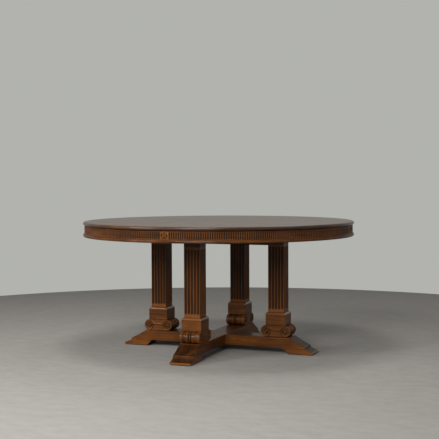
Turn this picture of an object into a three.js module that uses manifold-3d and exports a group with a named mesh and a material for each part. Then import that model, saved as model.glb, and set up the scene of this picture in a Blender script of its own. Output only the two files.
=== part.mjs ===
// Round pedestal dining table: a lipped round top with a fluted apron, carried by four square
// fluted columns that stand on plinth blocks, scroll bolsters and a cross of two stepped beams.
// Millimetres, +Z up. The origin is on the floor under the middle of the top. The arms of the
// base lie along X and Y: front is -Y, right is +X, back is +Y and left is -X.

import * as THREE from 'three';
import { mergeVertices } from 'three/addons/utils/BufferGeometryUtils.js';
import Module from 'manifold-3d';

const wasm = await Module();
wasm.setup();

// Overall sizes
const TABLE_HEIGHT = 765;
const TOP_RADIUS = 800;
const COLUMN_OFFSET = 372; // table axis to column axis

// Top, apron and bead
const TOP_THICKNESS = 20;
const LIPPING_WIDTH = 38;
const APRON_HEIGHT = 48;
const APRON_THICKNESS = 24;
const APRON_SETBACK = 8; // behind the edge of the top
const BEAD_HEIGHT = 18;
const BEAD_WIDTH = 34;
const ROSETTE_SIDE = 48;
const ROSETTE_THICKNESS = 34;

// Bearers and rails under the top
const BEARER_WIDTH = 80;
const BEARER_HEIGHT = 40;
const RAIL_THICKNESS = 45;
const LONG_RAIL_HEIGHT = 79;
const CROSS_RAIL_HEIGHT = 55;
const TENON_LENGTH = 28;
const TENON_THICKNESS = 15;
const TENON_SHOULDER = 14; // from the edge of the rail to the tenon, above and below

// Columns
const COLUMN_SIDE = 95;
const FLUTES_PER_FACE = 5;
const CORNER_LAND = 1.2; // from the corner of the column to the strip of flutes
const FLUTE_LAND = 2.6; // flat left between two flutes
const FLUTE_DEPTH = 5.5;
const FLUTE_KNEE = 0.72; // share of the half width and of the depth where the section bends
const FLUTE_STOP = 16; // plain band under the flutes
const FLUTE_RAIL_GAP = 2; // flutes end this far below the long rail

// Plinth blocks and scroll bolsters
const PLINTH_STEP = 12; // plinth face beyond the column face
const PLINTH_HEIGHT = 75;
const SHOULDER_HEIGHT = 13;
const SHOULDER_LEDGE = 2; // flat left at the foot of the column
const SCROLL_HEIGHT = 67;
const SCROLL_LENGTH = 182;
const SCROLL_PANEL_INSET = 1.5;

// Base beams
const ARM_STEP = 1.5; // arm side beyond the plinth face
const ARM_HEIGHT = 60;
const ARM_CLEARANCE = 33; // underside of the arm above the foot's sole
const FOOT_SLOPE_START = 9; // inside the end of the scroll
const UPPER_SLOPE = { run: 95, drop: 51, hollow: 3, steps: 5 };
const RISER = { run: 5, drop: 14 };
const LOWER_SLOPE = { run: 34, drop: 15, hollow: 1, steps: 3 };
const TOE = { run: 7, nose: 5 };
const SOLE_LENGTH = 149;
const RELIEF_RUN = 30;
const PAD_THICKNESS = 3;
const PAD_INSET = 3;

// Fasteners
const TIE_BOLT = { radius: 5, across: 17, head: 7 };
const TIE_GRIP = 60; // reach of the tie bolt into its column
const TIE_SEAT = 14; // depth of the counterbore under the arm
const WASHER = { radius: 12, thickness: 2 };
const INSERT = { radius: 8, length: 50, recess: 3 };
const BEARER_BOLT = { radius: 4, across: 13, head: 5.5, reach: 55 };
const BEARER_SEAT = 12;
const TOP_SCREW = { radius: 2.5, head: 5, cap: 3.5, reach: 13 };
const TOP_SCREW_SEAT = 20;
const TOP_SCREW_INSET = 110; // inside the end of the bearer

// Fits
const GAP = 0.3; // between faces that touch
const OVERLAP = 1; // reach of one solid into or past another that it joins or cuts
const BORE_CLEARANCE = 1; // round a shank that passes through
const SEAT_CLEARANCE = 2; // round a head or a washer
const RING_SEGMENTS = 96;
const ROUND_SEGMENTS = 16;
const ROLL_SEGMENTS = 24;
const NOSE_STEPS = 6;
const SHOULDER_STEPS = 5;

// Levels and places that follow
const plinthSide = COLUMN_SIDE + 2 * PLINTH_STEP;
const armWidth = plinthSide + 2 * ARM_STEP;
const flutePitch = (COLUMN_SIDE - 2 * CORNER_LAND) / FLUTES_PER_FACE;
const topUnderside = TABLE_HEIGHT - TOP_THICKNESS;
const beadTop = topUnderside - APRON_HEIGHT;
const beadBottom = beadTop - BEAD_HEIGHT;
const bearerBottom = topUnderside - BEARER_HEIGHT;
const longRailBottom = bearerBottom - LONG_RAIL_HEIGHT;
const crossRailBottom = bearerBottom - CROSS_RAIL_HEIGHT;
const soleLevel = PAD_THICKNESS;
const armBottom = soleLevel + ARM_CLEARANCE;
const armTop = armBottom + ARM_HEIGHT;
const scrollTop = armTop + SCROLL_HEIGHT;
const plinthTop = scrollTop + PLINTH_HEIGHT;
const apronOuter = TOP_RADIUS - APRON_SETBACK;
const apronInner = apronOuter - APRON_THICKNESS;
const slopeStart = COLUMN_OFFSET + SCROLL_LENGTH / 2 - FOOT_SLOPE_START;
const riserStart = slopeStart + UPPER_SLOPE.run;
const lowerStart = riserStart + RISER.run;
const toeStart = lowerStart + LOWER_SLOPE.run;
const footEnd = toeStart + TOE.run;

const WOOD = new THREE.MeshStandardMaterial({ color: 0x6a3f22, roughness: 0.42, metalness: 0 });
const TOP_WOOD = new THREE.MeshStandardMaterial({ color: 0x5d3a24, roughness: 0.35, metalness: 0 });
const CARCASS = new THREE.MeshStandardMaterial({ color: 0x4a2f1d, roughness: 0.6, metalness: 0 });
const STEEL = new THREE.MeshStandardMaterial({ color: 0x9a9c9e, roughness: 0.4, metalness: 1 });
const FELT = new THREE.MeshStandardMaterial({ color: 0x2e2926, roughness: 0.95, metalness: 0 });

const table = new THREE.Group();

// The four arms, turned about Z from the right-hand one, and the rail that enters each column.
const ARMS = [
  { name: 'right', turn: 0, railBottom: longRailBottom },
  { name: 'back', turn: Math.PI / 2, railBottom: crossRailBottom },
  { name: 'left', turn: Math.PI, railBottom: longRailBottom },
  { name: 'front', turn: 1.5 * Math.PI, railBottom: crossRailBottom },
];

// Solids

function solid(geometry) {
  const plain = geometry.index ? geometry.toNonIndexed() : geometry;
  plain.deleteAttribute('normal');
  plain.deleteAttribute('uv');
  const merged = mergeVertices(plain, 1e-4);
  const vertProperties = new Float32Array(merged.attributes.position.array);
  const triVerts = new Uint32Array(merged.index.array);
  return new wasm.Manifold(new wasm.Mesh({ numProp: 3, vertProperties, triVerts }));
}

function geometryOf(manifold) {
  const { vertProperties, triVerts } = manifold.getMesh();
  const geometry = new THREE.BufferGeometry();
  geometry.setAttribute('position', new THREE.BufferAttribute(vertProperties, 3));
  geometry.setIndex(new THREE.BufferAttribute(triVerts, 1));
  return geometry;
}

function add(name, manifold, material, turn = 0) {
  const mesh = new THREE.Mesh(geometryOf(manifold), material);
  mesh.name = name;
  mesh.rotation.z = turn;
  table.add(mesh);
}

function box(x0, x1, y0, y1, z0, z1) {
  const geometry = new THREE.BoxGeometry(x1 - x0, y1 - y0, z1 - z0);
  geometry.translate((x0 + x1) / 2, (y0 + y1) / 2, (z0 + z1) / 2);
  return solid(geometry);
}

// An upright cylinder or prism on the axis through x, y.
function rod(radius, z0, z1, x = 0, y = 0, sides = ROUND_SEGMENTS) {
  const geometry = new THREE.CylinderGeometry(radius, radius, z1 - z0, sides);
  geometry.rotateX(Math.PI / 2);
  geometry.translate(x, y, (z0 + z1) / 2);
  return solid(geometry);
}

// An outline of x and z, extruded along Y over a width centred on y = 0.
function plate(points, width) {
  const shape = new THREE.Shape(points.map(([x, z]) => new THREE.Vector2(x, z)));
  const geometry = new THREE.ExtrudeGeometry(shape, { depth: width, bevelEnabled: false });
  geometry.rotateX(Math.PI / 2);
  geometry.translate(0, width / 2, 0);
  return solid(geometry);
}

// A full ring: a closed outline of radius and height, turned about Z.
function ring(points) {
  const outline = [...points, points[0]].map(([r, z]) => new THREE.Vector2(r, z));
  const geometry = new THREE.LatheGeometry(outline, RING_SEGMENTS);
  geometry.rotateX(Math.PI / 2);
  return solid(geometry);
}

function turned(manifold, angle) {
  return manifold.rotate([0, 0, THREE.MathUtils.radToDeg(angle)]);
}

// Points of an arc about cx, cz, in degrees.
function arc(cx, cz, radius, from, to, steps) {
  return Array.from({ length: steps + 1 }, (_, i) => {
    const angle = THREE.MathUtils.degToRad(from + ((to - from) * i) / steps);
    return [cx + radius * Math.cos(angle), cz + radius * Math.sin(angle)];
  });
}

// The quarter of a ring between the right arm and the back arm, kept clear of both arm axes.
function quarter(full, margin) {
  const reach = 2 * TOP_RADIUS;
  return full.intersect(box(margin, reach, margin, reach, 0, 2 * TABLE_HEIGHT));
}

// Top panel and lipping

function topPanel() {
  const radius = TOP_RADIUS - LIPPING_WIDTH - GAP;
  let panel = rod(radius, topUnderside + GAP, TABLE_HEIGHT, 0, 0, RING_SEGMENTS);
  for (const { turn } of ARMS) {
    const pilot = rod(TOP_SCREW.radius + GAP, 0, topUnderside + TOP_SCREW.reach + GAP, topScrewX, 0);
    panel = panel.subtract(turned(pilot, turn));
  }
  return panel;
}

function lippingRing() {
  const nose = TOP_THICKNESS / 2;
  const inner = TOP_RADIUS - LIPPING_WIDTH;
  return ring([
    [inner, topUnderside + GAP],
    ...arc(TOP_RADIUS - nose, TABLE_HEIGHT - nose, nose - GAP / 2, -90, 90, NOSE_STEPS)
      .map(([r, z]) => [r + GAP / 2, z + GAP / 2]),
    [inner, TABLE_HEIGHT],
  ]);
}

// Apron, rosette blocks and bead

function apronRing() {
  return ring([
    [apronInner, beadTop + GAP],
    [apronOuter, beadTop + GAP],
    [apronOuter, topUnderside],
    [apronInner, topUnderside],
  ]);
}

function beadRing() {
  const nose = BEAD_HEIGHT / 2;
  const inner = TOP_RADIUS - BEAD_WIDTH;
  return ring([
    [inner, beadBottom],
    ...arc(TOP_RADIUS - nose, beadBottom + nose, nose, -90, 90, NOSE_STEPS),
    [inner, beadTop],
  ]);
}

function rosetteBlock() {
  const half = ROSETTE_SIDE / 2;
  const block = box(apronOuter - ROSETTE_THICKNESS, TOP_RADIUS, -half, half, beadTop + GAP, topUnderside);
  return block.intersect(rod(apronOuter, 0, TABLE_HEIGHT, 0, 0, RING_SEGMENTS));
}

// Bearers under the top: the long one keeps its lower half at the crossing, the cross one its upper.

const bearerReach = Math.min(apronInner, apronOuter - ROSETTE_THICKNESS) - GAP;
const topScrewX = bearerReach - TOP_SCREW_INSET;
const bearerMiddle = (bearerBottom + topUnderside) / 2;

function bearer(keepsLower) {
  const half = BEARER_WIDTH / 2;
  let body = box(-bearerReach, bearerReach, -half, half, bearerBottom + GAP, topUnderside);
  body = body.intersect(rod(apronInner - GAP, 0, TABLE_HEIGHT, 0, 0, RING_SEGMENTS));
  for (const side of [-1, 1]) {
    const column = side * COLUMN_OFFSET;
    const screw = side * topScrewX;
    const boltSeat = BEARER_BOLT.across / Math.sqrt(3) + SEAT_CLEARANCE;
    body = body.subtract(rod(BEARER_BOLT.radius + BORE_CLEARANCE, 0, TABLE_HEIGHT, column, 0));
    body = body.subtract(rod(boltSeat, topUnderside - BEARER_SEAT, TABLE_HEIGHT, column, 0));
    body = body.subtract(rod(TOP_SCREW.radius + BORE_CLEARANCE, 0, TABLE_HEIGHT, screw, 0));
    body = body.subtract(rod(TOP_SCREW.head + SEAT_CLEARANCE, 0, bearerBottom + TOP_SCREW_SEAT, screw, 0));
  }
  const notch = half + GAP;
  const from = keepsLower ? bearerMiddle : 0;
  const to = keepsLower ? TABLE_HEIGHT : bearerMiddle + GAP;
  return body.subtract(box(-notch, notch, -notch, notch, from, to));
}

// Rails between the columns, half-lapped where they cross, with a tenon on each end. The long
// rail is the deeper one, and the cross rail is let into its top.

const railReach = COLUMN_OFFSET - COLUMN_SIDE / 2;
const railLap = (Math.max(longRailBottom, crossRailBottom) + bearerBottom) / 2;

function tenon(bottom, clearance) {
  const half = TENON_THICKNESS / 2 + clearance;
  const low = bottom + TENON_SHOULDER - clearance;
  const high = bearerBottom - TENON_SHOULDER + clearance;
  return box(railReach - OVERLAP, railReach + TENON_LENGTH + clearance, -half, half, low, high);
}

function rail(bottom, keepsLower) {
  const half = RAIL_THICKNESS / 2;
  const end = railReach - GAP;
  let body = box(-end, end, -half, half, bottom, bearerBottom);
  body = body.add(tenon(bottom, 0)).add(turned(tenon(bottom, 0), Math.PI));
  const notch = half + GAP;
  const from = keepsLower ? railLap : 0;
  const to = keepsLower ? TABLE_HEIGHT : railLap + GAP;
  return body.subtract(box(-notch, notch, -notch, notch, from, to));
}

// Columns

const columnBottom = plinthTop + GAP;
const columnTop = bearerBottom;
const fluteBottom = plinthTop + FLUTE_STOP;
const fluteTop = longRailBottom - FLUTE_RAIL_GAP;

// One stopped flute on the face that looks along +X, at y.
function flute(y) {
  const half = (flutePitch - FLUTE_LAND) / 2;
  const section = [
    [-half, OVERLAP],
    [-half, 0],
    [-FLUTE_KNEE * half, -FLUTE_KNEE * FLUTE_DEPTH],
    [0, -FLUTE_DEPTH],
    [FLUTE_KNEE * half, -FLUTE_KNEE * FLUTE_DEPTH],
    [half, 0],
    [half, OVERLAP],
  ];
  const shape = new THREE.Shape(section.map(([a, b]) => new THREE.Vector2(b, a)).reverse());
  const depth = fluteTop - fluteBottom;
  const geometry = new THREE.ExtrudeGeometry(shape, { depth, bevelEnabled: false });
  geometry.translate(COLUMN_SIDE / 2, y, fluteBottom);
  return solid(geometry);
}

function column(railBottom) {
  const half = COLUMN_SIDE / 2;
  let body = box(-half, half, -half, half, columnBottom, columnTop);
  for (let face = 0; face < 4; face += 1) {
    for (let i = 0; i < FLUTES_PER_FACE; i += 1) {
      const y = (i - (FLUTES_PER_FACE - 1) / 2) * flutePitch;
      body = body.subtract(turned(flute(y), (face * Math.PI) / 2));
    }
  }
  const insertTop = plinthTop + INSERT.recess + INSERT.length;
  const boltTop = plinthTop + TIE_GRIP;
  body = body.subtract(rod(INSERT.radius + GAP, 0, insertTop + GAP));
  body = body.subtract(rod(TIE_BOLT.radius + BORE_CLEARANCE, 0, boltTop + BORE_CLEARANCE));
  body = body.subtract(rod(BEARER_BOLT.radius + GAP, columnTop - BEARER_BOLT.reach - GAP, TABLE_HEIGHT));
  return body.subtract(tenon(railBottom, GAP).translate([-COLUMN_OFFSET, 0, 0]));
}

// Plinth block: a square block whose four top edges are rounded over, mitred at the corners.

function plinth() {
  const half = plinthSide / 2;
  const shoulder = PLINTH_STEP - SHOULDER_LEDGE;
  const rise = SHOULDER_HEIGHT;
  const over = Array.from({ length: SHOULDER_STEPS + 1 }, (_, i) => {
    const angle = (i / SHOULDER_STEPS) * (Math.PI / 2);
    return [half - shoulder + shoulder * Math.cos(angle), plinthTop - rise + rise * Math.sin(angle)];
  });
  const mirrored = over.map(([x, z]) => [-x, z]).reverse();
  const outline = [[half, scrollTop + GAP], ...over, ...mirrored, [-half, scrollTop + GAP]];
  const block = plate(outline, plinthSide);
  const crossed = block.intersect(turned(block, Math.PI / 2));
  return crossed.subtract(rod(TIE_BOLT.radius + BORE_CLEARANCE, 0, TABLE_HEIGHT));
}

// Scroll bolster: two rolls joined by a body whose side panels are set in a little.

function scroll() {
  const radius = SCROLL_HEIGHT / 2;
  const centre = SCROLL_LENGTH / 2 - radius;
  const middle = armTop + radius;
  const low = armTop + GAP;
  const rollRadius = radius - GAP / 2;
  const rollMiddle = middle + GAP / 2;
  const roll = plate(arc(centre, rollMiddle, rollRadius, 0, 360, ROLL_SEGMENTS).slice(0, -1), armWidth);
  const panelWidth = armWidth - 2 * SCROLL_PANEL_INSET;
  const panel = [[-centre, low], [centre, low], [centre, scrollTop], [-centre, scrollTop]];
  const body = plate(panel, panelWidth).add(roll).add(turned(roll, Math.PI));
  return body.subtract(rod(TIE_BOLT.radius + BORE_CLEARANCE, 0, TABLE_HEIGHT));
}

// Base beams

// A hollow curve between two points: a parabola that sags by the given amount.
function hollowCurve([x0, z0], [x1, z1], sag, steps) {
  return Array.from({ length: steps + 1 }, (_, i) => {
    const s = i / steps;
    return [x0 + (x1 - x0) * s, z0 + (z1 - z0) * s - 4 * sag * s * (1 - s)];
  });
}

function beamOutline() {
  const sole = soleLevel + GAP;
  const riserTop = armTop - UPPER_SLOPE.drop;
  const lowerTop = riserTop - RISER.drop;
  const toeTop = lowerTop - LOWER_SLOPE.drop;
  const soleStart = footEnd - SOLE_LENGTH;
  const half = [
    [soleStart - RELIEF_RUN, armBottom],
    [soleStart, sole],
    [footEnd, sole],
    [footEnd, toeTop - TOE.nose],
    ...hollowCurve([toeStart, toeTop], [lowerStart, lowerTop], LOWER_SLOPE.hollow, LOWER_SLOPE.steps),
    ...hollowCurve([riserStart, riserTop], [slopeStart, armTop], UPPER_SLOPE.hollow, UPPER_SLOPE.steps),
  ];
  return [...half, ...half.map(([x, z]) => [-x, z]).reverse()];
}

function beam(keepsLower) {
  let body = plate(beamOutline(), armWidth);
  const seat = WASHER.radius + SEAT_CLEARANCE;
  for (const x of [-COLUMN_OFFSET, COLUMN_OFFSET]) {
    body = body.subtract(rod(TIE_BOLT.radius + BORE_CLEARANCE, 0, TABLE_HEIGHT, x, 0));
    body = body.subtract(rod(seat, 0, armBottom + TIE_SEAT, x, 0));
  }
  const notch = armWidth / 2 + GAP;
  const middle = (armBottom + armTop) / 2;
  const from = keepsLower ? middle : 0;
  const to = keepsLower ? TABLE_HEIGHT : middle + GAP;
  return body.subtract(box(-notch, notch, -notch, notch, from, to));
}

function footPad() {
  const half = armWidth / 2 - PAD_INSET;
  return box(footEnd - SOLE_LENGTH + PAD_INSET, footEnd - PAD_INSET, -half, half, 0, PAD_THICKNESS);
}

// Fasteners, each on the right-hand arm

function hexHead(across, z0, z1, x) {
  return rod(across / Math.sqrt(3), z0, z1, x, 0, 6);
}

function tieBolt() {
  const seat = armBottom + TIE_SEAT - WASHER.thickness - 2 * GAP;
  const head = hexHead(TIE_BOLT.across, seat - TIE_BOLT.head, seat, COLUMN_OFFSET);
  return head.add(rod(TIE_BOLT.radius, seat - OVERLAP, plinthTop + TIE_GRIP, COLUMN_OFFSET, 0));
}

function washer() {
  const top = armBottom + TIE_SEAT - GAP;
  const disc = rod(WASHER.radius, top - WASHER.thickness, top, COLUMN_OFFSET, 0);
  return disc.subtract(rod(TIE_BOLT.radius + GAP, 0, TABLE_HEIGHT, COLUMN_OFFSET, 0));
}

function insert() {
  const low = plinthTop + INSERT.recess;
  const sleeve = rod(INSERT.radius, low, low + INSERT.length, COLUMN_OFFSET, 0);
  return sleeve.subtract(rod(TIE_BOLT.radius + GAP, 0, TABLE_HEIGHT, COLUMN_OFFSET, 0));
}

function bearerBolt() {
  const seat = topUnderside - BEARER_SEAT + GAP;
  const head = hexHead(BEARER_BOLT.across, seat, seat + BEARER_BOLT.head, COLUMN_OFFSET);
  return head.add(rod(BEARER_BOLT.radius, columnTop - BEARER_BOLT.reach, seat + OVERLAP, COLUMN_OFFSET, 0));
}

function topScrew() {
  const seat = bearerBottom + TOP_SCREW_SEAT - GAP;
  const head = rod(TOP_SCREW.head, seat - TOP_SCREW.cap, seat, topScrewX, 0);
  return head.add(rod(TOP_SCREW.radius, seat - OVERLAP, topUnderside + TOP_SCREW.reach, topScrewX, 0));
}

// Assembly

add('top_panel', topPanel(), TOP_WOOD);

const lipping = quarter(lippingRing(), GAP / 2);
const apron = quarter(apronRing(), ROSETTE_SIDE / 2 + GAP);
const bead = quarter(beadRing(), GAP / 2);
const QUARTERS = ['right_back', 'back_left', 'left_front', 'front_right'];
QUARTERS.forEach((name, i) => {
  add(`lipping_${name}`, lipping, TOP_WOOD, ARMS[i].turn);
  add(`apron_${name}`, apron, WOOD, ARMS[i].turn);
  add(`bead_${name}`, bead, WOOD, ARMS[i].turn);
});

add('bearer_long', bearer(true), CARCASS);
add('bearer_cross', bearer(false), CARCASS, Math.PI / 2);
add('rail_long', rail(longRailBottom, true), CARCASS);
add('rail_cross', rail(crossRailBottom, false), CARCASS, Math.PI / 2);
add('beam_long', beam(true), WOOD);
add('beam_cross', beam(false), WOOD, Math.PI / 2);

const onArm = (manifold) => manifold.translate([COLUMN_OFFSET, 0, 0]);
const armPieces = [
  ['rosette_block', rosetteBlock(), WOOD],
  ['plinth', onArm(plinth()), WOOD],
  ['scroll', onArm(scroll()), WOOD],
  ['foot_pad', footPad(), FELT],
  ['tie_bolt', tieBolt(), STEEL],
  ['washer', washer(), STEEL],
  ['insert', insert(), STEEL],
  ['bearer_bolt', bearerBolt(), STEEL],
  ['top_screw', topScrew(), STEEL],
];
for (const { name, turn, railBottom } of ARMS) {
  add(`column_${name}`, onArm(column(railBottom)), WOOD, turn);
  for (const [piece, manifold, material] of armPieces) {
    add(`${piece}_${name}`, manifold, material, turn);
  }
}

export default table;
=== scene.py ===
"""Round pedestal dining table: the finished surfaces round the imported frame.

Metres, +Z up, origin on the floor under the middle of the top. The arms of the base lie along X
and Y: front is -Y, right is +X, back is +Y and left is -X. Pieces that repeat are shaped once on
the right-hand arm, or in the quarter between the right and the back arm, and turned about Z.
"""

import math
import random

import bmesh
import bpy
import numpy as np
from mathutils import Matrix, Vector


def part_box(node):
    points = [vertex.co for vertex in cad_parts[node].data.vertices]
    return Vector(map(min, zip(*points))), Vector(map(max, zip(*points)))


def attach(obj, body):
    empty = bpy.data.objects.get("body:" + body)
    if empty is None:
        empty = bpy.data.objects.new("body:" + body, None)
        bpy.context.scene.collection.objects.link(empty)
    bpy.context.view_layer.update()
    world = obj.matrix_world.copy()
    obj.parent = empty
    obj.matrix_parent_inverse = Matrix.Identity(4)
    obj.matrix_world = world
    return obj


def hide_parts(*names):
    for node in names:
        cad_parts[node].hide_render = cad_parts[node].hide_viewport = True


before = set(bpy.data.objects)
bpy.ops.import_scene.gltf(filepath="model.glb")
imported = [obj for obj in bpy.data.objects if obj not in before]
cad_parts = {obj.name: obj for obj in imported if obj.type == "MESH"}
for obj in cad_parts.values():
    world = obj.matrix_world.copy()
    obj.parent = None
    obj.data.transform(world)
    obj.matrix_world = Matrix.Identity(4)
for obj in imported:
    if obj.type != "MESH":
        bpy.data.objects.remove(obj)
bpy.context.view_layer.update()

scene = bpy.context.scene
draw = random.Random(7)

MM = 0.001
GAP = 0.3 * MM  # between pieces that touch
WELD = 1e-6  # points closer than this are one
SMOOTH_BELOW = math.radians(38)  # a sharper angle between two faces shows as an edge
BROKEN_EDGE = 0.5 * MM  # bevel along the edges that are only just broken

ARMS = {"right": 0.0, "back": 0.5 * math.pi, "left": math.pi, "front": 1.5 * math.pi}
QUARTERS = {
    "right_back": 0.0,
    "back_left": 0.5 * math.pi,
    "left_front": math.pi,
    "front_right": 1.5 * math.pi,
}

# ---------------------------------------------------------------- camera

CAMERA_DISTANCE = 5.889  # from the table's axis
CAMERA_HEIGHT = 1.018
CAMERA_AZIMUTH = math.radians(21.0)  # from straight in front towards the right
CAMERA_YAW = math.radians(0.055)  # to the right of the axis
CAMERA_PITCH = math.radians(2.40)  # below the horizon
CAMERA_ROLL = math.radians(0.22)
CAMERA_LENS = 81.18
SENSOR = 36.0


def make_camera():
    data = bpy.data.cameras.new("camera")
    data.sensor_width = SENSOR
    data.lens = CAMERA_LENS
    camera = bpy.data.objects.new("camera", data)
    scene.collection.objects.link(camera)
    across = CAMERA_DISTANCE * math.sin(CAMERA_AZIMUTH)
    back = CAMERA_DISTANCE * math.cos(CAMERA_AZIMUTH)
    turn = Matrix.Rotation(CAMERA_AZIMUTH - CAMERA_YAW, 4, "Z")
    tilt = Matrix.Rotation(math.pi / 2 - CAMERA_PITCH, 4, "X")
    roll = Matrix.Rotation(-CAMERA_ROLL, 4, "Z")
    camera.matrix_world = Matrix.Translation((across, -back, CAMERA_HEIGHT)) @ turn @ tilt @ roll
    scene.camera = camera


make_camera()

# ---------------------------------------------------------------- node trees


def set_input(tree, node, key, value):
    socket = node.inputs[key]
    if isinstance(value, bpy.types.NodeSocket):
        tree.links.new(value, socket)
    else:
        socket.default_value = value


def add_node(tree, kind, inputs=None, **settings):
    """A node of that kind, with its settings, and with constants or links on its inputs."""
    node = tree.nodes.new(kind)
    for key, value in settings.items():
        setattr(node, key, value)
    for key, value in (inputs or {}).items():
        set_input(tree, node, key, value)
    return node


def scaled(tree, vector, factors):
    node = add_node(tree, "ShaderNodeVectorMath", {0: vector, 1: factors}, operation="MULTIPLY")
    return node.outputs[0]


def noise(tree, vector, detail=3.0, roughness=0.55, distortion=0.0):
    inputs = {
        "Vector": vector,
        "Scale": 1.0,
        "Detail": detail,
        "Roughness": roughness,
        "Distortion": distortion,
    }
    return add_node(tree, "ShaderNodeTexNoise", inputs).outputs[0]


def ranged(tree, value, low, high, to_low=0.0, to_high=1.0):
    inputs = {0: value, 1: low, 2: high, 3: to_low, 4: to_high}
    return add_node(tree, "ShaderNodeMapRange", inputs).outputs[0]


def math_node(tree, operation, a, b):
    return add_node(tree, "ShaderNodeMath", {0: a, 1: b}, operation=operation).outputs[0]


def mixed(tree, factor, a, b, blend="MIX"):
    """Colours a and b mixed by a factor."""
    node = add_node(tree, "ShaderNodeMix", data_type="RGBA", blend_type=blend)
    set_input(tree, node, 0, factor)
    set_input(tree, node, 6, a)
    set_input(tree, node, 7, b)
    return node.outputs[2]


def new_material(name):
    material = bpy.data.materials.new(name)
    material.use_nodes = True
    tree = material.node_tree
    tree.nodes.clear()
    return material, tree


def finish_material(tree, inputs, height, distance, strength):
    """A shader with those inputs, and a fine relief from the height."""
    shader = add_node(tree, "ShaderNodeBsdfPrincipled", inputs)
    relief = {"Height": height, "Distance": distance, "Strength": strength}
    bump = add_node(tree, "ShaderNodeBump", relief)
    tree.links.new(bump.outputs[0], shader.inputs["Normal"])
    output = add_node(tree, "ShaderNodeOutputMaterial")
    tree.links.new(shader.outputs[0], output.inputs[0])


def grain_place(tree):
    """Place in the board: X runs along the grain. The pieces carry it as an attribute."""
    return add_node(tree, "ShaderNodeAttribute", attribute_name="grain").outputs["Vector"]


def frame_place(tree, along):
    """The same for a carried-over node, whose grain runs along that axis of the frame."""
    coordinates = add_node(tree, "ShaderNodeTexCoord").outputs["Object"]
    parts = add_node(tree, "ShaderNodeSeparateXYZ", {0: coordinates}).outputs
    order = {"X": (0, 1, 2), "Y": (1, 2, 0), "Z": (2, 0, 1)}[along]
    inputs = {i: parts[order[i]] for i in range(3)}
    return add_node(tree, "ShaderNodeCombineXYZ", inputs).outputs[0]


# ---------------------------------------------------------------- materials

# In each set of tones the first is the near-black of painted shade, and of glaze in hollows.
BASE_TONES = {
    "shade_glaze_tone": (0.0060, 0.0028, 0.0016),
    "dark": (0.026, 0.0078, 0.0018),
    "mid": (0.132, 0.0400, 0.0070),
    "light": (0.265, 0.0900, 0.0170),
}
TOP_TONES = {
    "shade_glaze_tone": (0.008, 0.0035, 0.0018),
    "dark": (0.034, 0.0120, 0.0042),
    "mid": (0.095, 0.0380, 0.0130),
    "light": (0.150, 0.0660, 0.0250),
}
INNER_TONES = {
    "shade_glaze_tone": (0.006, 0.0030, 0.0018),
    "dark": (0.012, 0.0052, 0.0026),
    "mid": (0.030, 0.0130, 0.0060),
    "light": (0.055, 0.0260, 0.0130),
}


def wood(name, tones, place=None, roughness=0.42, coat=0.24, specular=0.10):
    """Stained and lacquered straight-grained hardwood.

    A carried-over node gives the axis of its grain as its place. The other pieces carry the
    place of each point, the painted shade (with some glaze) that darkens it, and the painted
    highlight (with some wear) that lightens it and thickens its lacquer.
    """
    material, tree = new_material(name)
    vector = grain_place(tree) if place is None else frame_place(tree, place)
    figure = noise(tree, scaled(tree, vector, (2.2, 26.0, 26.0)), 4.0, 0.55, 0.6)
    streaks = noise(tree, scaled(tree, vector, (7.0, 190.0, 190.0)), 3.0, 0.6)
    fibres = noise(tree, scaled(tree, vector, (30.0, 1300.0, 1300.0)), 2.0, 0.5)
    pores = noise(tree, scaled(tree, vector, (85.0, 2100.0, 2100.0)), 1.0, 0.5)
    blotches = noise(tree, scaled(tree, vector, (9.0, 14.0, 14.0)), 3.0, 0.5)

    shade_glaze_tone, dark, mid, light = ((*tones[key], 1.0) for key in ("shade_glaze_tone", "dark", "mid", "light"))
    colour = mixed(tree, ranged(tree, figure, 0.36, 0.60), dark, mid)
    colour = mixed(tree, ranged(tree, streaks, 0.42, 0.70, 0.0, 0.65), colour, light)
    colour = mixed(tree, ranged(tree, fibres, 0.38, 0.68, 0.0, 0.45), colour, dark)
    stain = ranged(tree, blotches, 0.30, 0.70, 0.60, 1.26)
    grey = add_node(tree, "ShaderNodeCombineXYZ", {0: stain, 1: stain, 2: stain}).outputs[0]
    colour = mixed(tree, 1.0, colour, grey, "MULTIPLY")
    pits = ranged(tree, pores, 0.60, 0.72, 0.0, 0.6)
    colour = mixed(tree, pits, colour, dark)
    gloss = ranged(tree, blotches, 0.3, 0.7, roughness - 0.04, roughness + 0.07)
    lacquer = coat
    if place is None:
        hollow = add_node(tree, "ShaderNodeAttribute", attribute_name="hollow").outputs["Fac"]
        worn = add_node(tree, "ShaderNodeAttribute", attribute_name="worn").outputs["Fac"]
        # Painted highlight: lighter colour on edges, nosings, lands and raised carving, with some
        # wear.
        colour = mixed(tree, ranged(tree, worn, 0.0, 1.0, 0.0, 0.6), colour, light)
        # Painted shade: darker colour in recesses and joints, under the top and on upper faces,
        # with some glaze.
        colour = mixed(tree, ranged(tree, hollow, 0.0, 1.0, 0.0, 0.9), colour, shade_glaze_tone)
        gloss = math_node(tree, "ADD", gloss, ranged(tree, hollow, 0.0, 1.0, 0.0, 0.18))
        lacquer = ranged(tree, worn, 0.9, 1.0, coat, 1.0)
    relief = math_node(tree, "SUBTRACT", fibres, ranged(tree, pits, 0.0, 0.6, 0.0, 0.8))
    inputs = {
        "Base Color": colour,
        "Roughness": gloss,
        "Specular IOR Level": specular,
        "Coat Weight": lacquer,
        "Coat Roughness": 0.11,
        "Coat IOR": 1.45,
    }
    finish_material(tree, inputs, relief, 0.00025, 0.22)
    return material


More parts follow.
